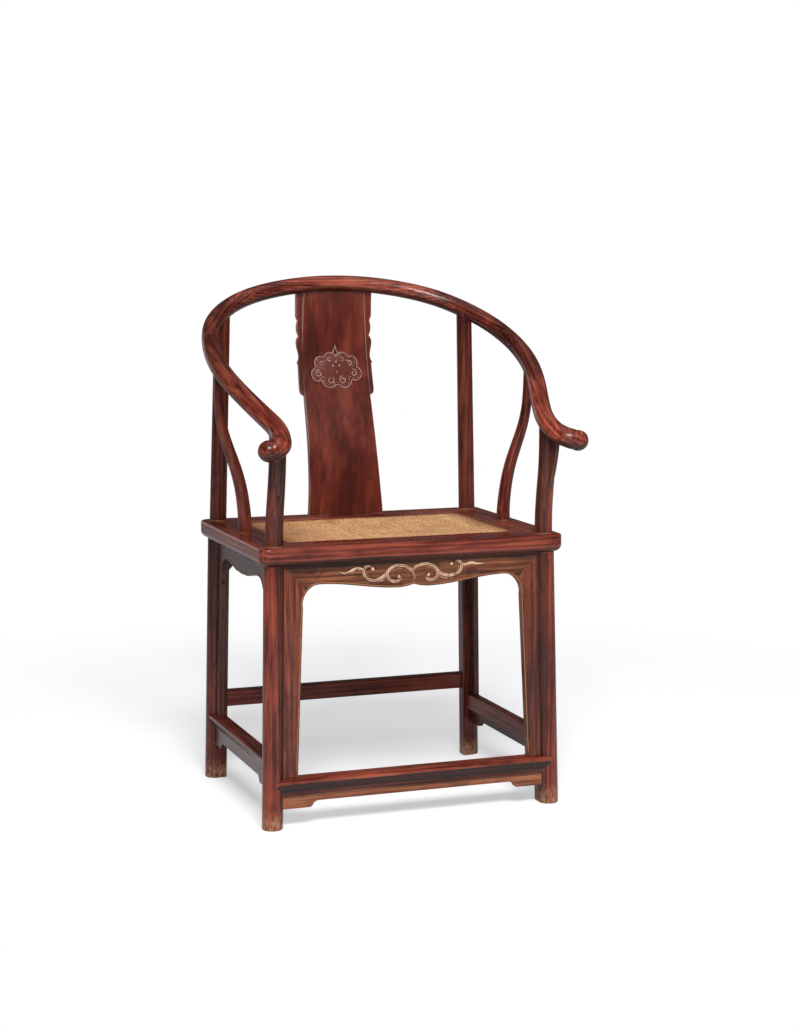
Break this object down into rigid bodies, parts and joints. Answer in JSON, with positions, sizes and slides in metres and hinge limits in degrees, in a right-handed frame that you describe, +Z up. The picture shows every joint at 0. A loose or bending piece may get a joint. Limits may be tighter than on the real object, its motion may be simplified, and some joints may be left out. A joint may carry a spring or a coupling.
{
  "type": "horseshoe-back armchair",
  "caption": "Hardwood armchair with a round rail that sweeps from the back into out-curled hands, an S-curved splat, a cane seat in a mitred frame, arched aprons and a footrest.",
  "frame": {"origin": "on the floor, under the middle of the chair's width and depth", "axes": "+Z up, -Y the way the sitter faces, +X to the right of someone who faces the chair's front"},
  "size_m": [0.6572, 0.5709, 0.993],
  "materials": {
    "rosewood": "polished",
    "splat_wood": "polished",
    "cane": "woven",
    "palm_fibre": "woven"
  },
  "bodies": {
    "root": {"arm_rail_left": "rosewood", "arm_rail_right": "rosewood", "arm_spandrel_left": "rosewood", "arm_spandrel_right": "rosewood", "cane_edge_strip_front": "rosewood", "cane_edge_strip_left": "rosewood", "cane_edge_strip_rear": "rosewood", "cane_edge_strip_right": "rosewood", "cane_mat": "cane", "crest_rail_back": "rosewood", "crest_rail_shoulder_left": "rosewood", "crest_rail_shoulder_right": "rosewood", "crest_rail_wedge_pins": "rosewood", "edge_strip_pegs": "rosewood", "footrest": "rosewood", "footrest_apron": "rosewood", "front_apron": "rosewood", "front_leg_left": "rosewood", "front_leg_right": "rosewood", "front_stile_left": "rosewood", "front_stile_right": "rosewood", "palm_webbing": "palm_fibre", "rear_apron": "rosewood", "rear_leg_left": "rosewood", "rear_leg_right": "rosewood", "rear_stretcher": "rosewood", "seat_brace_left": "rosewood", "seat_brace_right": "rosewood", "seat_rail_front": "rosewood", "seat_rail_left": "rosewood", "seat_rail_rear": "rosewood", "seat_rail_right": "rosewood", "side_apron_left": "rosewood", "side_apron_right": "rosewood", "side_front_stile_left": "rosewood", "side_front_stile_right": "rosewood", "side_post_left": "rosewood", "side_post_right": "rosewood", "side_rear_stile_left": "rosewood", "side_rear_stile_right": "rosewood", "side_stretcher_apron_left": "rosewood", "side_stretcher_apron_right": "rosewood", "side_stretcher_left": "rosewood", "side_stretcher_right": "rosewood", "splat": "splat_wood", "splat_flange_left": "splat_wood", "splat_flange_right": "splat_wood"}
  },
  "joints": []
}
